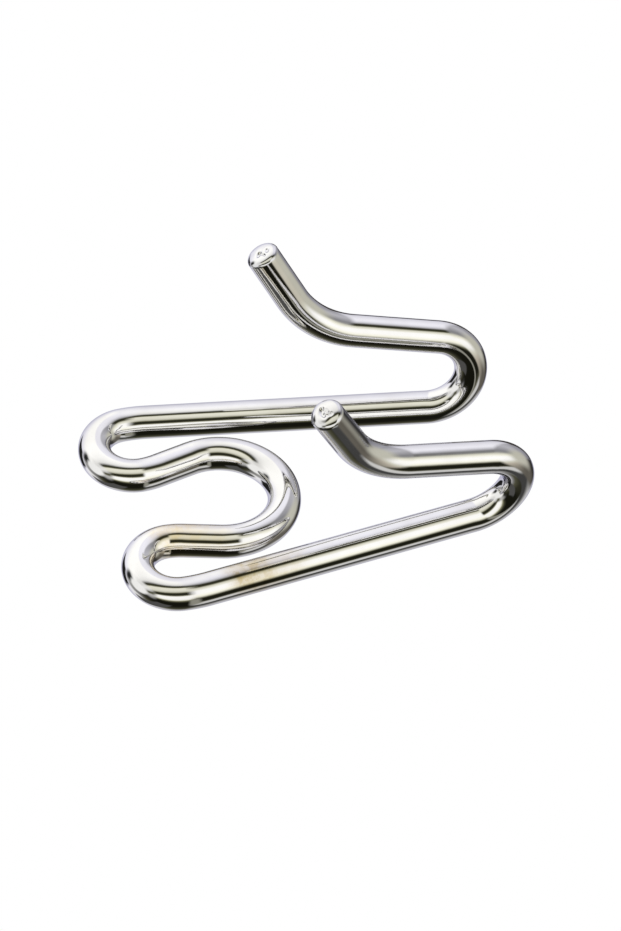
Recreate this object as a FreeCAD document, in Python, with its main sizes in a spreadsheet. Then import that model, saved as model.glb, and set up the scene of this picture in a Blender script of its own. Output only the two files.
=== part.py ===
"""Link bent from one length of round wire, with two prongs that stand up.

Frame: +X points to the two hooks, +Y to the left leg, +Z up. The wire rests on Z = 0 and the origin is
the middle of its outline, seen from above. From the middle of the central loop, the left half of the
wire runs back through a neck to a U-turn, forward along a straight leg, up and back over a hook, along
an arm, and up into a straight prong with a rounded end. The right half is its mirror image.
"""

import FreeCAD
import Part

import math
import os

import Sketcher

NODE = "bent_wire_link"

# Driving dimensions in millimetres and degrees. Radii of bends are to the wire's centreline.
DIMENSIONS = [
    ("wire_diameter", 3.2, "standard size of the wire"),
    ("loop_centre_back", 8.29, "from the origin back to the centre of the central loop"),
    ("loop_radius", 6.0, "central loop"),
    ("loop_half_sweep", 105.0, "from the front of the loop to the start of the neck"),
    ("neck_length", 3.55, "straight wire between the loop and the bend into the U-turn"),
    ("entry_radius", 7.0, "gentle bend from the neck into the U-turn"),
    ("entry_sweep", 12.5, "angle of the bend into the U-turn"),
    ("turn_radius", 3.55, "U-turn"),
    ("exit_radius", 13.6, "gentle bend from the U-turn into the leg"),
    ("exit_sweep", 10.5, "angle of the bend out of the U-turn"),
    ("leg_length", 27.1, "straight part of the leg"),
    ("leg_taper", 8.3, "angle by which each leg closes in towards the hooks"),
    ("hook_radius", 4.2, "hook"),
    ("hook_sweep", 168.2, "whole angle that the hook turns the wire through"),
    ("hook_lean", 8.7, "angle by which the hook leans outwards"),
    ("hook_toe", 5.2, "angle by which the upper half of the hook turns back in"),
    ("arm_length", 8.6, "straight part of the arm, from the hook to the prong bend"),
    ("prong_bend_radius", 9.3, "bend that lifts the prong"),
    ("prong_bend_sweep", 48.5, "angle of the bend that lifts the prong"),
    ("prong_length", 6.5, "straight prong, to its very tip"),
    ("tip_round", 0.7, "radius around the edge of the prong's end"),
]

START, END, CENTRE = 1, 2, 3
ORIGIN = (-1, 1)
X_AXIS, Y_AXIS = -1, -2
LEFT, RIGHT = 1, -1


def make_dimension_sheet(doc):
    """Sheet of driving dimensions, one row each, with an alias for expressions to read."""
    sheet = doc.addObject("Spreadsheet::Sheet", "dims")
    for row, (alias, value, meaning) in enumerate(DIMENSIONS, start=1):
        sheet.set(f"A{row}", alias)
        sheet.set(f"B{row}", str(value))
        sheet.set(f"C{row}", meaning)
        sheet.setAlias(f"B{row}", alias)
    doc.recompute()
    return sheet


def origin_plane(body, role):
    """The body's own origin plane with this role, such as XY_Plane."""
    return next(item for item in body.Origin.OriginFeatures if item.Role == role)


def placement(x, y, z, *turns):
    """Expression for a placement at a point, turned about its own axes in the order given."""
    axes = {"x": "1; 0; 0", "y": "0; 1; 0", "z": "0; 0; 1"}
    rotations = [
        f"create(<<rotation>>; create(<<vector>>; {axes[axis]}); {angle})"
        for axis, angle in turns or [("z", "0")]
    ]
    return f"create(<<placement>>; create(<<vector>>; {x}; {y}; {z}); {' * '.join(rotations)})"


def add_sketch(body, name, plane_role, offset):
    """Sketch on one of the body's origin planes, carried to its place by an expression."""
    sketch = body.newObject("Sketcher::SketchObject", name)
    sketch.AttachmentSupport = [(origin_plane(body, plane_role), "")]
    sketch.MapMode = "FlatFace"
    sketch.setExpression("AttachmentOffset", offset)
    return sketch


def constrain(sketch, *terms, bound_to=None):
    """Add a constraint and bind its value to an expression where one is given."""
    number = sketch.addConstraint(Sketcher.Constraint(*terms))
    if bound_to:
        sketch.setExpression(f"Constraints[{number}]", bound_to)
    return number


class WirePath:
    """Centreline drawn in a sketch as straight runs and arcs, each tangent to the one before."""

    def __init__(self, sketch, sheet, x, y, heading):
        self.sketch = sketch
        self.sheet = sheet
        self.point = FreeCAD.Vector(x, y, 0)
        self.heading = heading
        self.end = None

    def unit(self, angle):
        """Unit vector at an angle in degrees."""
        return FreeCAD.Vector(math.cos(math.radians(angle)), math.sin(math.radians(angle)), 0)

    def join(self, edge, vertex):
        """Tie the new edge's first vertex to the end of the path, tangent to it."""
        if self.end:
            constrain(self.sketch, "Tangent", *self.end, edge, vertex)

    def straight(self, length_name):
        """Straight run in the present heading."""
        length = self.sheet.get(length_name)
        far = self.point + self.unit(self.heading) * length
        edge = self.sketch.addGeometry(Part.LineSegment(self.point, far), False)
        self.join(edge, START)
        constrain(self.sketch, "Distance", edge, length, bound_to=f"dims.{length_name}")
        self.point = far
        self.end = (edge, END)
        return edge

    def bend(self, radius_name, sweep, side, sweep_bound_to=None):
        """Arc through sweep degrees to the LEFT or RIGHT of the present heading."""
        radius = self.sheet.get(radius_name)
        towards_centre = self.heading + 90 * side
        centre = self.point + self.unit(towards_centre) * radius
        first = towards_centre + 180
        last = first + sweep * side
        circle = Part.Circle(centre, FreeCAD.Vector(0, 0, 1), radius)
        span = sorted((math.radians(first), math.radians(last)))
        edge = self.sketch.addGeometry(Part.ArcOfCircle(circle, *span), False)
        near_vertex, far_vertex = (START, END) if side == LEFT else (END, START)
        self.join(edge, near_vertex)
        constrain(self.sketch, "Radius", edge, radius, bound_to=f"dims.{radius_name}")
        if sweep_bound_to:
            constrain(self.sketch, "Angle", edge, math.radians(sweep), bound_to=sweep_bound_to)
        self.point = centre + self.unit(last) * radius
        self.heading += sweep * side
        self.end = (edge, far_vertex)
        return edge

    def measure_end(self, name):
        """Reference distances NAME_x and NAME_y from the sketch's origin to the path's end."""
        for kind, letter, value in (("DistanceX", "x", self.point.x), ("DistanceY", "y", self.point.y)):
            number = constrain(self.sketch, kind, *ORIGIN, *self.end, value)
            self.sketch.setDriving(number, False)
            self.sketch.renameConstraint(number, f"{name}_{letter}")


def add_base_path(body, sheet):
    """Part of the left half that lies flat: half the central loop, neck, U-turn and leg."""
    sketch = add_sketch(body, "base_path", "XY_Plane", placement(0, 0, "dims.wire_diameter / 2"))
    path = WirePath(sketch, sheet, sheet.loop_radius - sheet.loop_centre_back, 0, 90)
    loop = path.bend("loop_radius", sheet.loop_half_sweep, LEFT, "dims.loop_half_sweep")
    constrain(sketch, "PointOnObject", loop, CENTRE, X_AXIS)
    constrain(sketch, "PointOnObject", loop, START, X_AXIS)
    constrain(
        sketch, "DistanceX", loop, CENTRE, *ORIGIN, sheet.loop_centre_back,
        bound_to="dims.loop_centre_back",
    )
    path.straight("neck_length")
    path.bend("entry_radius", sheet.entry_sweep, RIGHT, "dims.entry_sweep")
    side_bends = sheet.entry_sweep + sheet.exit_sweep
    path.bend("turn_radius", 90 + sheet.loop_half_sweep + sheet.leg_taper - side_bends, RIGHT)
    path.bend("exit_radius", sheet.exit_sweep, RIGHT, "dims.exit_sweep")
    leg = path.straight("leg_length")
    constrain(sketch, "Angle", leg, -math.radians(sheet.leg_taper), bound_to="-dims.leg_taper")
    path.measure_end("leg_end")
    return sketch


def add_hook_path(body, sheet):
    """Lower quarter of the hook, in the leg's own upright plane, leant outwards."""
    frame = placement(
        "base_path.Constraints.leg_end_x",
        "dims.wire_diameter / 2",
        "-base_path.Constraints.leg_end_y",
        ("y", "-dims.leg_taper"),
        ("x", "-dims.hook_lean"),
    )
    sketch = add_sketch(body, "hook_path", "XZ_Plane", frame)
    quarter = WirePath(sketch, sheet, 0, 0, 0).bend("hook_radius", 90, LEFT)
    constrain(sketch, "Coincident", quarter, START, *ORIGIN)
    constrain(sketch, "PointOnObject", quarter, CENTRE, Y_AXIS)
    constrain(sketch, "Angle", quarter, math.radians(90))
    return sketch


def add_arm_path(body, sheet):
    """Rest of the hook, arm and prong bend, in a plane turned in from the lower hook's."""
    step = placement("dims.hook_radius", "dims.hook_radius", 0, ("y", "dims.hook_toe"))
    sketch = add_sketch(body, "arm_path", "XZ_Plane", f"hook_path.AttachmentOffset * {step}")
    path = WirePath(sketch, sheet, 0, 0, 90)
    hook_top = path.bend("hook_radius", sheet.hook_sweep - 90, LEFT, "dims.hook_sweep - 90")
    constrain(sketch, "Coincident", hook_top, START, *ORIGIN)
    constrain(sketch, "PointOnObject", hook_top, CENTRE, X_AXIS)
    path.straight("arm_length")
    path.bend("prong_bend_radius", sheet.prong_bend_sweep, RIGHT, "dims.prong_bend_sweep")
    path.measure_end("prong_start")
    return sketch


def add_prong_profile(body, sheet):
    """Half outline of the straight prong, along its axis, with its rounded tip."""
    heading = "dims.hook_sweep - dims.prong_bend_sweep"
    step = placement(
        "arm_path.Constraints.prong_start_x",
        "arm_path.Constraints.prong_start_y",
        0,
        ("z", heading),
    )
    sketch = add_sketch(body, "prong_profile", "XZ_Plane", f"arm_path.AttachmentOffset * {step}")
    length = sheet.prong_length
    radius = sheet.wire_diameter / 2
    tip = sheet.tip_round
    corners = [(0, 0), (length, 0), (length, radius - tip), (length - tip, radius), (0, radius)]
    points = [FreeCAD.Vector(x, y, 0) for x, y in corners]
    axis = sketch.addGeometry(Part.LineSegment(points[0], points[1]), False)
    flat = sketch.addGeometry(Part.LineSegment(points[1], points[2]), False)
    round_centre = FreeCAD.Vector(length - tip, radius - tip, 0)
    round_circle = Part.Circle(round_centre, FreeCAD.Vector(0, 0, 1), tip)
    edge_round = sketch.addGeometry(Part.ArcOfCircle(round_circle, 0, math.pi / 2), False)
    side = sketch.addGeometry(Part.LineSegment(points[3], points[4]), False)
    root = sketch.addGeometry(Part.LineSegment(points[4], points[0]), False)
    constrain(sketch, "Coincident", axis, START, *ORIGIN)
    constrain(sketch, "Horizontal", axis)
    constrain(sketch, "Coincident", axis, END, flat, START)
    constrain(sketch, "Vertical", flat)
    constrain(sketch, "Tangent", flat, END, edge_round, START)
    constrain(sketch, "Tangent", edge_round, END, side, START)
    constrain(sketch, "Horizontal", side)
    constrain(sketch, "Coincident", side, END, root, START)
    constrain(sketch, "Vertical", root)
    constrain(sketch, "Coincident", root, END, axis, START)
    constrain(sketch, "Distance", axis, length, bound_to="dims.prong_length")
    constrain(sketch, "Distance", root, radius, bound_to="dims.wire_diameter / 2")
    constrain(sketch, "Radius", edge_round, tip, bound_to="dims.tip_round")
    return sketch


def add_section(body, sheet, name, offset):
    """Round section of the wire at the start of a path."""
    sketch = add_sketch(body, name, "XZ_Plane", offset)
    radius = sheet.wire_diameter / 2
    circle = Part.Circle(FreeCAD.Vector(0, 0, 0), FreeCAD.Vector(0, 0, 1), radius)
    outline = sketch.addGeometry(circle, False)
    constrain(sketch, "Coincident", outline, CENTRE, *ORIGIN)
    constrain(sketch, "Diameter", outline, sheet.wire_diameter, bound_to="dims.wire_diameter")
    return sketch


def add_wire(body, name, section, path):
    """Sweep the wire's section along every edge of a path."""
    wire = body.newObject("PartDesign::AdditivePipe", name)
    wire.Profile = section
    wire.Spine = (path, [f"Edge{number}" for number in range(1, path.GeometryCount + 1)])
    wire.Mode = "Frenet"
    return wire


def build_link(doc, sheet):
    """Left half from loop to prong tip, then its mirror image."""
    body = doc.addObject("PartDesign::Body", NODE)
    body.Label = NODE

    base_path = add_base_path(body, sheet)
    loop_front = placement("dims.loop_radius - dims.loop_centre_back", "dims.wire_diameter / 2", 0)
    base_section = add_section(body, sheet, "base_section", loop_front)
    doc.recompute()
    add_wire(body, "base_wire", base_section, base_path)

    hook_path = add_hook_path(body, sheet)
    leg_end = f"hook_path.AttachmentOffset * {placement(0, 0, 0, ('y', '90'))}"
    hook_section = add_section(body, sheet, "hook_section", leg_end)
    doc.recompute()
    add_wire(body, "hook_wire", hook_section, hook_path)

    arm_path = add_arm_path(body, sheet)
    hook_middle = f"arm_path.AttachmentOffset * {placement(0, 0, 0, ('x', '90'))}"
    arm_section = add_section(body, sheet, "arm_section", hook_middle)
    doc.recompute()
    add_wire(body, "arm_wire", arm_section, arm_path)

    prong_profile = add_prong_profile(body, sheet)
    doc.recompute()
    prong = body.newObject("PartDesign::Revolution", "prong")
    prong.Profile = prong_profile
    prong.ReferenceAxis = (prong_profile, ["H_Axis"])
    prong.Angle = 360
    doc.recompute()

    mirrored = body.newObject("PartDesign::Mirrored", "right_half")
    mirrored.TransformMode = "Whole shape"
    mirrored.MirrorPlane = (origin_plane(body, "XZ_Plane"), [""])
    body.Tip = mirrored
    doc.recompute()
    return body


def check(doc, body):
    """Stop if any object failed or the link is not one closed solid."""
    for item in doc.Objects:
        if "Invalid" in item.State or "Error" in item.State:
            raise RuntimeError(f"{item.Label} failed: {item.State}")
    shape = body.Shape
    if shape.isNull() or not shape.isValid() or len(shape.Solids) != 1:
        raise RuntimeError(f"{body.Label} is not one valid solid")


def main():
    doc = FreeCAD.newDocument("bent_wire_link_document")
    sheet = make_dimension_sheet(doc)
    link = build_link(doc, sheet)
    check(doc, link)
    os.makedirs("parts", exist_ok=True)
    link.Shape.exportStep(f"parts/{link.Label}.step")


main()
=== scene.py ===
import math
from collections import namedtuple

import bpy
from mathutils import Matrix, Quaternion, Vector, noise


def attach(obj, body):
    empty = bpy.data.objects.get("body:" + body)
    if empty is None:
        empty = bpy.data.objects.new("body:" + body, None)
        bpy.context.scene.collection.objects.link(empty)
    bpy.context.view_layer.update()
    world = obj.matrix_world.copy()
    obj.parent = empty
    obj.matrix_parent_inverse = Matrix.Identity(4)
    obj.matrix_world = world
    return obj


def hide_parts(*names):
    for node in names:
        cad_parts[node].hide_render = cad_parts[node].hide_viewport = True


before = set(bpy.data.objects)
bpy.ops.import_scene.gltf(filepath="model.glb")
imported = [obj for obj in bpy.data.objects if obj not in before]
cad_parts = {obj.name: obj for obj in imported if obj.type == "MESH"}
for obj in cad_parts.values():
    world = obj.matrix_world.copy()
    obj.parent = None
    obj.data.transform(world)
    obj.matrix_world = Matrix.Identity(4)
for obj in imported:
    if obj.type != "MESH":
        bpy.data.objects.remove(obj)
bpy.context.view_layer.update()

NODE = "bent_wire_link"
MM = 0.001            # metres in a millimetre
UP = Vector((0, 0, 1))

# Form of the wire, in millimetres and degrees. Radii of bends are to the centreline.
WIRE_RADIUS = 1.6
LOOP_CENTRE_X = -8.29
LOOP_RADIUS = 6.0
LOOP_HALF_SWEEP = 105.0
NECK_LENGTH = 3.55
ENTRY_RADIUS = 7.0
ENTRY_SWEEP = 12.5
TURN_RADIUS = 3.55
EXIT_RADIUS = 13.6
EXIT_SWEEP = 10.5
LEG_LENGTH = 27.1
LEG_TAPER = 8.3
HOOK_RADIUS = 4.2
HOOK_SWEEP = 168.2
HOOK_LEAN = 8.7
HOOK_TOE = 5.2
ARM_LENGTH = 8.6
PRONG_BEND_RADIUS = 9.3
PRONG_BEND_SWEEP = 48.5
PRONG_LENGTH = 6.5
TIP_ROUND = 0.7

# Fineness of the mesh.
SIDES = 96            # vertices round the wire
STEP = 0.30           # largest distance between rings, along the wire
BEND_STEP = 2.5       # largest turn between rings, in degrees
TIP_STEP = 2          # turn between the rings of a tip, in degrees

# Surface of the wire, in millimetres.
FLATTENING = 0.045    # flattening of the section for each unit of curvature
SMOOTHING_PASSES = 14
RIPPLES = [           # height, fineness, shift of the pattern
    (0.0035, 0.33, Vector((0, 0, 0))),
    (0.0016, 0.90, Vector((7, 3, 1))),
]

# Sheared ends of the wire.
TIP_POWER = 2.5       # 2 gives an elliptical dome, more gives a flatter end face
TIP_WAVE_HEIGHT = 0.035
TIP_WAVE_FINENESS = 1.3
TIP_WAVE_SHIFT = 5    # sets the two tips' waves apart
TIP_SINK = 0.01       # how far the middle of the end face sinks in
MIDDLE_DULLNESS = 0.35

# A shear mark is a groove along part of a circle: the circle's centre and radius on the end face,
# the angles where the groove starts and stops, and the groove's width and depth.
Mark = namedtuple("Mark", "across up radius start stop width depth")
LEFT_TIP_MARKS = [
    Mark(0.15, -0.60, 0.55, 118, 152, 0.19, 0.21),
    Mark(-0.55, -0.95, 0.80, 15, 38, 0.13, 0.15),
    Mark(0.20, -0.10, 0.50, 325, 350, 0.18, 0.18),
]
RIGHT_TIP_MARKS = [
    Mark(0.30, 0.10, 0.62, 150, 215, 0.22, 0.26),
    Mark(-0.30, -0.35, 0.60, 30, 62, 0.15, 0.17),
    Mark(0.20, -0.90, 0.55, 60, 95, 0.15, 0.14),
]


# ---------------------------------------------------------------------------
# Centreline
# ---------------------------------------------------------------------------

# A place on the centreline. In a straight run the bend's axis and radius are 0.
Station = namedtuple("Station", "point tangent axis radius")
NO_AXIS = Vector((0, 0, 0))


class Walker:
    """Walks the wire's centreline and notes a station at each step."""

    def __init__(self, point, tangent):
        self.point = Vector(point)
        self.tangent = Vector(tangent)
        self.stations = []

    def note(self, axis, radius):
        self.stations.append(Station(self.point.copy(), self.tangent.copy(), axis.copy(), radius))

    def straight(self, length):
        count = max(1, math.ceil(length / STEP))
        for _ in range(count):
            self.note(NO_AXIS, 0.0)
            self.point += self.tangent * (length / count)

    def bend(self, radius, sweep, axis):
        """Turn through sweep degrees about axis, by the right-hand rule."""
        count = max(2, math.ceil(max(sweep / BEND_STEP, math.radians(sweep) * radius / STEP)))
        centre = self.point + axis.cross(self.tangent) * radius
        turn = Quaternion(axis, math.radians(sweep) / count)
        for _ in range(count):
            self.note(axis, radius)
            arm = self.point - centre
            arm.rotate(turn)
            self.point = centre + arm
            self.tangent.rotate(turn)
            self.tangent.normalize()


def left_half():
    """Stations from the front of the central loop to the start of the left tip."""
    walk = Walker((LOOP_CENTRE_X + LOOP_RADIUS, 0, WIRE_RADIUS), (0, 1, 0))
    walk.bend(LOOP_RADIUS, LOOP_HALF_SWEEP, UP)
    walk.straight(NECK_LENGTH)
    walk.bend(ENTRY_RADIUS, ENTRY_SWEEP, -UP)
    walk.bend(TURN_RADIUS, 90 + LOOP_HALF_SWEEP + LEG_TAPER - ENTRY_SWEEP - EXIT_SWEEP, -UP)
    walk.bend(EXIT_RADIUS, EXIT_SWEEP, -UP)
    walk.straight(LEG_LENGTH)
    side = UP.cross(walk.tangent)
    side.rotate(Quaternion(walk.tangent, math.radians(-HOOK_LEAN)))
    walk.bend(HOOK_RADIUS, 90, -side)
    side.rotate(Quaternion(walk.tangent, math.radians(HOOK_TOE)))
    walk.bend(HOOK_RADIUS, HOOK_SWEEP - 90, -side)
    walk.straight(ARM_LENGTH)
    walk.bend(PRONG_BEND_RADIUS, PRONG_BEND_SWEEP, side)
    walk.straight(PRONG_LENGTH - TIP_ROUND)
    walk.note(NO_AXIS, 0.0)
    return walk.stations


def mirrored(station):
    """Station on the right half, with its tangent still pointing from the right tip to the left."""
    flip = Vector((1, -1, 1))
    return Station(station.point * flip, -(station.tangent * flip), -(station.axis * flip), station.radius)


def whole_wire():
    """Stations of the whole wire, from the right tip to the left tip."""
    left = left_half()
    right = [mirrored(station) for station in reversed(left[1:])]
    return right + left


# ---------------------------------------------------------------------------
# Wire mesh
# ---------------------------------------------------------------------------

class WireMesh:
    """Vertices in millimetres, faces, and two values at each vertex that the chrome reads."""

    def __init__(self):
        self.verts = []
        self.faces = []
        self.values = {"bend": [], "tip": []}

    def add_points(self, points, bend, tip):
        """Add vertices and return the number of the first one."""
        first = len(self.verts)
        self.verts.extend(points)
        self.values["bend"].extend([bend] * len(points))
        self.values["tip"].extend([tip] * len(points))
        return first

    def join(self, ring, next_ring):
        """Faces from one ring to the next one along the wire."""
        for side in range(SIDES):
            other = (side + 1) % SIDES
            self.faces.append((ring + side, ring + other, next_ring + other, next_ring + side))

    def build(self, name):
        """Blender mesh of all of it, in metres."""
        mesh = bpy.data.meshes.new(name)
        mesh.from_pydata([tuple(point * MM) for point in self.verts], [], self.faces)
        mesh.update()
        for value_name, values in self.values.items():
            layer = mesh.attributes.new(value_name, "FLOAT", "POINT")
            layer.data.foreach_set("value", values)
        for face in mesh.polygons:
            face.use_smooth = True
        return mesh


def bend_amounts(stations):
    """Curvature at each station, smoothed so that the section changes gradually."""
    amounts = [1 / station.radius if station.radius else 0.0 for station in stations]
    for _ in range(SMOOTHING_PASSES):
        neighbours = zip(amounts, amounts[1:], amounts[2:])
        inner = [(before + 2 * here + after) / 4 for before, here, after in neighbours]
        amounts = [amounts[0], *inner, amounts[-1]]
    return amounts


def around(tangent, normal):
    """Unit vectors from the centreline to each side of the wire."""
    binormal = tangent.cross(normal)
    angles = [2 * math.pi * side / SIDES for side in range(SIDES)]
    return [normal * math.cos(angle) + binormal * math.sin(angle) for angle in angles]


def ripple(point):
    """Faint unevenness of the surface."""
    return sum(height * noise.noise(point * fineness + shift) for height, fineness, shift in RIPPLES)


def section(station, tangent, normal, amount):
    """Points of the wire's section, flattened towards the bend's axis."""
    squash = FLATTENING * amount if station.radius else 0.0
    points = []
    for out in around(tangent, normal):
        across = out.dot(station.axis)
        radius = WIRE_RADIUS * (1 + squash * (2 * across * across - 1))
        surface = station.point + out * radius
        points.append(surface + out * ripple(surface))
    return points


def mark_depth(u, v, marks):
    """Depth of the shear marks at a place on the end face."""
    depth = 0.0
    for mark in marks:
        du, dv = u - mark.across, v - mark.up
        angle = math.degrees(math.atan2(dv, du))
        middle = (mark.start + mark.stop) / 2
        beyond = max(0.0, abs((angle - middle + 180) % 360 - 180) - (mark.stop - mark.start) / 2)
        gap = math.hypot(math.hypot(du, dv) - mark.radius, math.radians(beyond) * mark.radius)
        depth += mark.depth * math.exp(-(gap / mark.width) ** 2)
    return depth


def add_tip(wire, ring, centre, tangent, normal, outward, marks):
    """Sheared end on a ring: rounded edge, and a low dome with shallow shear marks."""
    across = (Vector((1, 0, 0)) - outward * outward.x).normalized()
    upward = outward.cross(across)
    at_start = outward.dot(tangent) < 0

    def surface(offset, height):
        u, v = offset.dot(across), offset.dot(upward)
        fade = (height / TIP_ROUND) ** 3
        place = Vector((u * TIP_WAVE_FINENESS, v * TIP_WAVE_FINENESS, outward.y * TIP_WAVE_SHIFT))
        waves = TIP_WAVE_HEIGHT * noise.noise(place)
        return centre + offset + outward * (height + fade * (waves - mark_depth(u, v, marks) - TIP_SINK))

    for slant in range(TIP_STEP, 90, TIP_STEP):
        radius = WIRE_RADIUS * math.cos(math.radians(slant)) ** (2 / TIP_POWER)
        height = TIP_ROUND * math.sin(math.radians(slant))
        dullness = MIDDLE_DULLNESS + (1 - MIDDLE_DULLNESS) * (radius / WIRE_RADIUS) ** 3
        points = [surface(out * radius, height) for out in around(tangent, normal)]
        next_ring = wire.add_points(points, 0.0, dullness)
        if at_start:
            wire.join(next_ring, ring)
        else:
            wire.join(ring, next_ring)
        ring = next_ring

    hub = wire.add_points([surface(Vector((0, 0, 0)), TIP_ROUND)], 0.0, MIDDLE_DULLNESS)
    for side in range(SIDES):
        edge = (ring + side, ring + (side + 1) % SIDES)
        wire.faces.append((hub, *reversed(edge)) if at_start else (*edge, hub))


def build_wire():
    """The bent wire, swept along its centreline, with both tips."""
    wire = WireMesh()
    stations = whole_wire()
    rings = []
    for station, amount in zip(stations, bend_amounts(stations)):
        tangent = station.tangent.normalized()
        if rings:
            normal = normal.copy()
            normal.rotate(rings[-1][2].rotation_difference(tangent))
            normal = (normal - tangent * normal.dot(tangent)).normalized()
        else:
            normal = tangent.orthogonal().normalized()
        points = section(station, tangent, normal, amount)
        # the value "bend" is about 1 in a hook and less in wider bends
        ring = wire.add_points(points, min(1.0, amount * HOOK_RADIUS), 0.0)
        rings.append((ring, station.point, tangent, normal))
    for (ring, *_), (next_ring, *_) in zip(rings, rings[1:]):
        wire.join(ring, next_ring)

    add_tip(wire, *rings[-1], rings[-1][2], LEFT_TIP_MARKS)
    add_tip(wire, *rings[0], -rings[0][2], RIGHT_TIP_MARKS)
    piece = bpy.data.objects.new("bent_wire", wire.build("bent_wire"))
    bpy.context.scene.collection.objects.link(piece)
    return piece


# ---------------------------------------------------------------------------
# Node helpers
# ---------------------------------------------------------------------------

class Nodes:
    """Short calls for building a node tree."""

    def __init__(self, tree):
        self.tree = tree

    def add(self, kind, inputs=None, **settings):
        node = self.tree.nodes.new(kind)
        for key, value in settings.items():
            setattr(node, key, value)
        for key, value in (inputs or {}).items():
            self.put(value, node.inputs[key])
        return node

    def put(self, value, socket):
        """Link a socket to an input, or set the input's own value."""
        if isinstance(value, bpy.types.NodeSocket):
            self.tree.links.new(value, socket)
        else:
            socket.default_value = value

    def math(self, operation, *values):
        node = self.add("ShaderNodeMath", operation=operation)
        for value, socket in zip(values, node.inputs):
            self.put(value, socket)
        return node.outputs[0]

    def noise(self, where, scale, detail, roughness):
        settings = {"Vector": where, "Scale": scale, "Detail": detail, "Roughness": roughness}
        return self.add("ShaderNodeTexNoise", settings).outputs["Fac"]

    def ramp(self, factor, stops):
        """Colour ramp through stops of (position, colour)."""
        node = self.add("ShaderNodeValToRGB")
        elements = node.color_ramp.elements
        while len(elements) < len(stops):
            elements.new(0.5)
        for element, (position, colour) in zip(elements, stops):
            element.position = position
            element.color = (*colour, 1.0)
        self.put(factor, node.inputs[0])
        return node.outputs[0]

    def rise(self, value, start, end):
        """0 at start, 1 at end, with a soft slope between. The end may be the smaller number."""
        node = self.add("ShaderNodeMapRange", interpolation_type="SMOOTHSTEP")
        for key, setting in (("Value", value), ("From Min", start), ("From Max", end)):
            self.put(setting, node.inputs[key])
        return node.outputs[0]

    def band(self, value, low, high, soft):
        """1 between low and high, falling to 0 over soft on each side."""
        return self.math("MULTIPLY", self.rise(value, low - soft, low), self.rise(value, high + soft, high))

    def mix(self, factor, a, b):
        node = self.add("ShaderNodeMix", data_type="RGBA")
        self.put(factor, node.inputs[0])
        for colour, socket in ((a, node.inputs[6]), (b, node.inputs[7])):
            self.put(colour if isinstance(colour, bpy.types.NodeSocket) else (*colour, 1.0), socket)
        return node.outputs[2]


# ---------------------------------------------------------------------------
# Chrome
# ---------------------------------------------------------------------------

# Chrome colours, and the darker tint of its edges seen at a slant.
SILVER_TONES = [
    (0.30, (0.80, 0.79, 0.765)),
    (0.62, (0.86, 0.855, 0.84)),
    (0.80, (0.83, 0.815, 0.785)),
]
DULL_METAL = (0.48, 0.48, 0.53)
MOST_DULL = 0.55      # share of dull metal at the rim of a tip
EDGE_TINT = (0.50, 0.50, 0.58, 1.0)

# Roughness: at its least, and what clouds, bends and tips add.
LEAST_ROUGH = 0.015
CLOUD_ROUGH = 0.05
BEND_ROUGH = 0.012
TIP_ROUGH = 0.03

# Noise patterns: scale for an object in metres, detail, roughness.
CLOUD = (260.0, 4.0, 0.55)
BLOTCH = (1100.0, 5.0, 0.70)
GRAIN = (2600.0, 3.0, 0.60)
GRAIN_BUMP = {"Strength": 0.06, "Distance": 0.00002}

# Faint tarnish: place, reach (metres), strength, colour.
STAINS = [
    ((-0.0087, -0.0116, 0.0032), 0.0032, 0.90, (0.52, 0.42, 0.22)),
    ((-0.0060, -0.0111, 0.0030), 0.0040, 0.50, (0.64, 0.56, 0.40)),
    ((-0.0143, -0.0048, 0.0024), 0.0034, 0.70, (0.80, 0.66, 0.38)),
    ((-0.0112, -0.0056, 0.0024), 0.0030, 0.50, (0.80, 0.70, 0.46)),
]
STAIN_CORE = 0.35     # share of the reach that is fully stained
STAIN_FADE = 0.65     # share of the reach over which a stain fades
STAIN_EVEN = 0.45     # share of a stain that is even, the rest being mottled


def add_tarnish(n, where, colour):
    """The colour with mottled stains laid over it."""
    mottle = n.ramp(n.noise(where, *BLOTCH), [(0.42, (0, 0, 0)), (0.62, (1, 1, 1))])
    for place, reach, strength, stain in STAINS:
        distance = n.add("ShaderNodeVectorMath", {0: where, 1: place}, operation="DISTANCE")
        near = n.band(distance.outputs["Value"], -1.0, reach * STAIN_CORE, reach * STAIN_FADE)
        patchy = n.math("MULTIPLY_ADD", mottle, 1 - STAIN_EVEN, STAIN_EVEN)
        cover = n.math("MULTIPLY", near, n.math("MULTIPLY", patchy, strength))
        colour = n.mix(cover, colour, stain)
    return colour


def make_chrome():
    """Polished chrome, slightly cloudy, duller on the tips and tarnished in places."""
    material = bpy.data.materials.new("polished_chrome")
    material.use_nodes = True
    material.node_tree.nodes.clear()
    n = Nodes(material.node_tree)
    where = n.add("ShaderNodeTexCoord").outputs["Object"]
    bend = n.add("ShaderNodeAttribute", attribute_name="bend").outputs["Fac"]
    tip = n.add("ShaderNodeAttribute", attribute_name="tip").outputs["Fac"]
    cloud = n.noise(where, *CLOUD)

    dull = n.math("MULTIPLY", n.math("POWER", tip, 3.0), MOST_DULL)
    metal = n.mix(dull, n.ramp(cloud, SILVER_TONES), DULL_METAL)
    rough = n.math("MULTIPLY_ADD", cloud, CLOUD_ROUGH, LEAST_ROUGH)
    rough = n.math("ADD", rough, n.math("MULTIPLY", bend, BEND_ROUGH))
    rough = n.math("ADD", rough, n.math("MULTIPLY", tip, TIP_ROUGH))
    bump = n.add("ShaderNodeBump", {**GRAIN_BUMP, "Height": n.noise(where, *GRAIN)})
    shader = n.add("ShaderNodeBsdfPrincipled", {
        "Base Color": add_tarnish(n, where, metal),
        "Metallic": 1.0,
        "Roughness": rough,
        "Normal": bump.outputs[0],
        "Specular Tint": EDGE_TINT,
    })
    n.add("ShaderNodeOutputMaterial", {"Surface": shader.outputs[0]})
    return material


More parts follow.
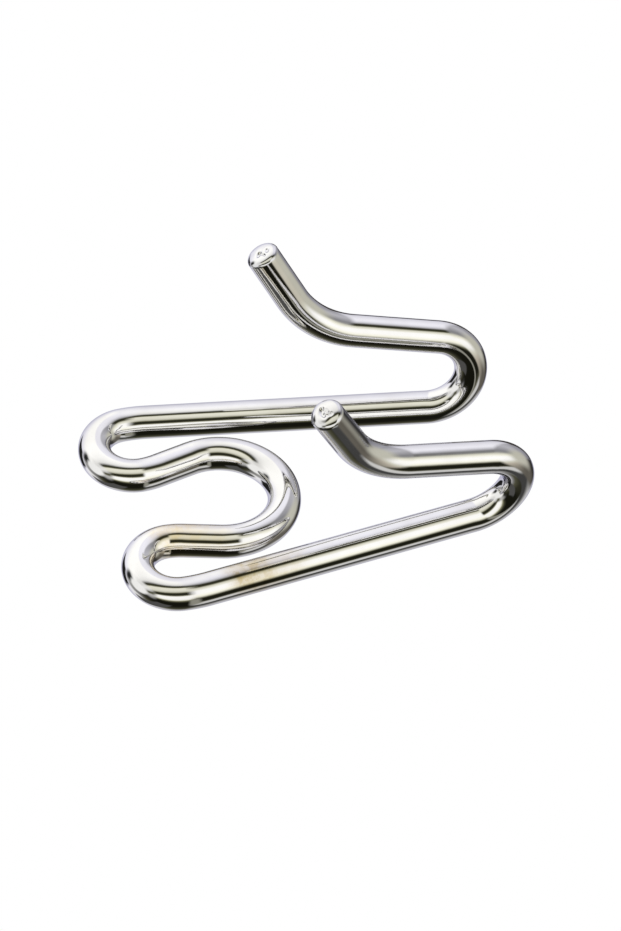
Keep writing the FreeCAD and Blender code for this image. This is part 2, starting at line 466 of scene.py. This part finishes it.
# ---------------------------------------------------------------------------
# Studio
# ---------------------------------------------------------------------------

# Tints of the studio light.
COOL = (0.955, 0.950, 1.04)
PLAIN = (1.0, 0.995, 0.985)
WARM = (1.0, 0.985, 0.85)
OLIVE = (1.0, 0.98, 0.62)
BROWN = (1.09, 1.0, 0.84)

# Brightness round the X axis, as (angle, brightness, tint). Angle 0 is level towards the
# viewer's side (-Y), 90 is straight up and 180 is level behind the link.
SIDEWAYS = [
    (-180, 1.06, COOL), (-128, 1.12, COOL), (-104, 1.00, PLAIN), (-94, 0.70, PLAIN),
    (-86, 0.28, PLAIN), (-78, 0.10, OLIVE), (-66, 0.035, OLIVE), (-50, 0.010, OLIVE),
    (-22, 0.008, OLIVE), (-14, 0.05, OLIVE), (-7, 0.26, OLIVE), (-2, 0.85, WARM),
    (5, 1.12, PLAIN), (23, 1.15, PLAIN), (29, 0.30, OLIVE), (33, 0.025, OLIVE),
    (46, 0.025, OLIVE), (50, 0.24, OLIVE), (55, 0.62, WARM), (64, 0.86, WARM),
    (79, 0.92, WARM), (83, 0.25, OLIVE), (86, 0.045, OLIVE), (93, 0.045, OLIVE),
    (97, 0.40, PLAIN), (103, 0.88, PLAIN), (116, 1.10, PLAIN), (134, 1.22, PLAIN),
    (154, 1.20, PLAIN), (180, 1.06, COOL),
]
SLANTED = [
    (-180, 0.92, COOL), (-126, 0.96, COOL), (-102, 0.94, PLAIN), (-88, 0.64, PLAIN),
    (-78, 0.34, PLAIN), (-68, 0.06, PLAIN), (-58, 0.06, PLAIN), (-52, 0.66, PLAIN),
    (-41, 0.70, PLAIN), (-34, 0.10, OLIVE), (-28, 0.012, OLIVE), (-9, 0.012, OLIVE),
    (-3, 0.12, OLIVE), (4, 0.62, WARM), (12, 1.10, WARM), (28, 1.18, PLAIN),
    (48, 1.16, PLAIN), (58, 0.92, WARM), (66, 0.70, WARM), (71, 0.24, OLIVE),
    (75, 0.035, OLIVE), (87, 0.035, OLIVE), (92, 0.28, PLAIN), (100, 0.66, COOL),
    (112, 0.96, COOL), (126, 1.06, COOL), (150, 0.98, COOL), (180, 0.92, COOL),
]
ENDWAYS = [
    (-180, 0.48, COOL), (-156, 0.42, COOL), (-145, 0.34, COOL), (-138, 0.055, PLAIN),
    (-116, 0.05, BROWN), (-104, 0.11, BROWN), (-84, 0.14, BROWN), (-66, 0.12, BROWN),
    (-54, 0.14, BROWN), (-42, 0.24, BROWN), (-30, 0.36, BROWN), (-18, 0.50, BROWN),
    (-6, 0.74, WARM), (8, 1.06, PLAIN),
    (20, 1.18, PLAIN), (36, 1.18, PLAIN), (52, 1.00, WARM), (66, 0.66, WARM), (76, 0.34, PLAIN),
    (90, 0.28, COOL), (108, 0.40, COOL), (138, 0.58, COOL), (160, 0.54, COOL),
    (180, 0.42, COOL),
]
BACKWAYS = [
    (-180, 0.020, PLAIN), (-168, 0.020, PLAIN), (-158, 0.10, PLAIN), (-144, 0.42, PLAIN),
    (-120, 0.34, PLAIN), (-90, 0.22, PLAIN), (-68, 0.05, OLIVE), (-50, 0.020, OLIVE),
    (-36, 0.05, PLAIN), (-24, 0.30, PLAIN), (-6, 0.55, PLAIN), (10, 0.50, PLAIN),
    (20, 0.12, OLIVE), (34, 0.10, OLIVE), (46, 0.60, PLAIN), (66, 0.95, PLAIN),
    (90, 0.80, PLAIN), (112, 0.92, PLAIN), (134, 1.12, PLAIN), (148, 0.80, PLAIN),
    (158, 0.12, PLAIN), (168, 0.020, PLAIN), (180, 0.020, PLAIN),
]
# Smaller panels and gaps: range of angle and its softness, range of slope and its softness,
# brightness, tint.
PATCHES = [
    ((-166, -130, 8), (-44, -22, 6), 0.020, PLAIN),
    ((-172, -142, 8), (21, 38, 5), 0.08, BROWN),
    ((-40, -12, 12), (11, 14, 4), 0.30, WARM),
    ((-104, -50, 8), (-38, -18, 5), 0.085, PLAIN),
]
AHEAD = 0.60          # brightness of the panel straight ahead of the hooks
TOP_LIGHT = 1.25      # brightness of the brightest panel
# The slope of a direction is its angle in degrees from the YZ plane, positive towards +X. Each set
# of panels takes over between two slopes.
SIDEWAYS_SLOPE = (-58, -44)
SLANTED_SLOPE = (8, 15)
ENDWAYS_SLOPE = (33, 43)
AHEAD_SLOPE = (54, 78)
BEHIND_SLOPE = (-64, -74)


def shade(brightness, tint):
    """Colour of a panel, as a fraction of the brightest one."""
    return tuple(min(1.0, brightness * channel / TOP_LIGHT) for channel in tint)


def make_studio():
    """White room with soft panels, described by the direction that light comes from."""
    world = bpy.data.worlds.new("studio")
    bpy.context.scene.world = world
    world.use_nodes = True
    world.node_tree.nodes.clear()
    n = Nodes(world.node_tree)
    direction = n.add("ShaderNodeTexCoord").outputs["Generated"]
    x, y, z = n.add("ShaderNodeSeparateXYZ", {"Vector": direction}).outputs
    round_x = n.math("ARCTAN2", z, n.math("MULTIPLY", y, -1.0))
    angle = n.math("MULTIPLY", round_x, 180 / math.pi)
    turn = n.math("MULTIPLY_ADD", round_x, 0.5 / math.pi, 0.5)
    slope = n.math("MULTIPLY", n.math("ARCSINE", x), 180 / math.pi)

    def panels(stops):
        return n.ramp(turn, [((degrees + 180) / 360, shade(light, tint)) for degrees, light, tint in stops])

    sky = n.mix(n.rise(slope, *SIDEWAYS_SLOPE), panels(BACKWAYS), panels(SIDEWAYS))
    sky = n.mix(n.rise(slope, *SLANTED_SLOPE), sky, panels(SLANTED))
    sky = n.mix(n.rise(slope, *ENDWAYS_SLOPE), sky, panels(ENDWAYS))
    sky = n.mix(n.rise(slope, *AHEAD_SLOPE), sky, shade(AHEAD, WARM))
    for (low, high, soft), (back, front, fade), light, tint in PATCHES:
        inside = n.math("MULTIPLY", n.band(angle, low, high, soft), n.band(slope, back, front, fade))
        sky = n.mix(inside, sky, shade(light, tint))
    white = shade(1.0, (1, 1, 1))
    sky = n.mix(n.rise(slope, *BEHIND_SLOPE), sky, white)
    seen = n.add("ShaderNodeLightPath").outputs["Is Camera Ray"]
    light = n.add("ShaderNodeBackground", {"Color": n.mix(seen, sky, white), "Strength": TOP_LIGHT})
    n.add("ShaderNodeOutputWorld", {"Surface": light.outputs[0]})


# In metres.
FLOOR_HALF_SIZE = 3.0
FLOOR_DROP = 0.00002  # the floor's depth below Z = 0


def make_floor():
    """Pale floor, lit evenly and clear to everything but the camera."""
    mesh = bpy.data.meshes.new("floor")
    corners = [(-1, -1), (1, -1), (1, 1), (-1, 1)]
    mesh.from_pydata([(x * FLOOR_HALF_SIZE, y * FLOOR_HALF_SIZE, 0) for x, y in corners], [], [(0, 1, 2, 3)])
    floor = bpy.data.objects.new("floor", mesh)
    floor.location.z = -FLOOR_DROP
    bpy.context.scene.collection.objects.link(floor)
    material = bpy.data.materials.new("pale_floor")
    material.use_nodes = True
    material.node_tree.nodes.clear()
    n = Nodes(material.node_tree)
    paper = n.add("ShaderNodeEmission", {"Color": (1.0, 1.0, 1.0, 1.0), "Strength": 1.0})
    clear = n.add("ShaderNodeBsdfTransparent")
    seen = n.add("ShaderNodeLightPath").outputs["Is Camera Ray"]
    mix = n.add("ShaderNodeMixShader", {0: seen, 1: clear.outputs[0], 2: paper.outputs[0]})
    n.add("ShaderNodeOutputMaterial", {"Surface": mix.outputs[0]})
    mesh.materials.append(material)


# ---------------------------------------------------------------------------
# Camera
# ---------------------------------------------------------------------------

# Angles in degrees, lengths in millimetres.
CAMERA_AZIMUTH = -18.279
CAMERA_ELEVATION = 43.668
CAMERA_ROLL = 3.778
CAMERA_DISTANCE = 663.714
CAMERA_LENS = 270.677
CAMERA_TARGET = Vector((-1.09, 0.0, 4.8))
TARGET_SHIFT = (1.392, -0.3968)   # right and up in the picture


def make_camera():
    """Long lens from the front left, above."""
    azimuth, elevation = math.radians(CAMERA_AZIMUTH), math.radians(CAMERA_ELEVATION)
    back = Vector((
        math.sin(azimuth) * math.cos(elevation),
        -math.cos(azimuth) * math.cos(elevation),
        math.sin(elevation),
    ))
    right = Vector((math.cos(azimuth), math.sin(azimuth), 0))
    roll = Quaternion(back, math.radians(CAMERA_ROLL))
    up = back.cross(right)
    right.rotate(roll)
    up.rotate(roll)
    target = CAMERA_TARGET + right * TARGET_SHIFT[0] + up * TARGET_SHIFT[1]
    camera_data = bpy.data.cameras.new("camera")
    camera_data.lens = CAMERA_LENS
    camera_data.clip_start = 0.01
    camera_data.clip_end = 20.0
    camera = bpy.data.objects.new("camera", camera_data)
    camera.matrix_world = Matrix((right, up, back)).transposed().to_4x4()
    camera.matrix_world.translation = (target + back * CAMERA_DISTANCE) * MM
    bpy.context.scene.collection.objects.link(camera)
    bpy.context.scene.camera = camera


wire = build_wire()
wire.data.materials.append(make_chrome())
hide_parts(NODE)
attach(wire, "root")
make_studio()
make_floor()
make_camera()
bpy.context.scene.view_settings.view_transform = "Standard"
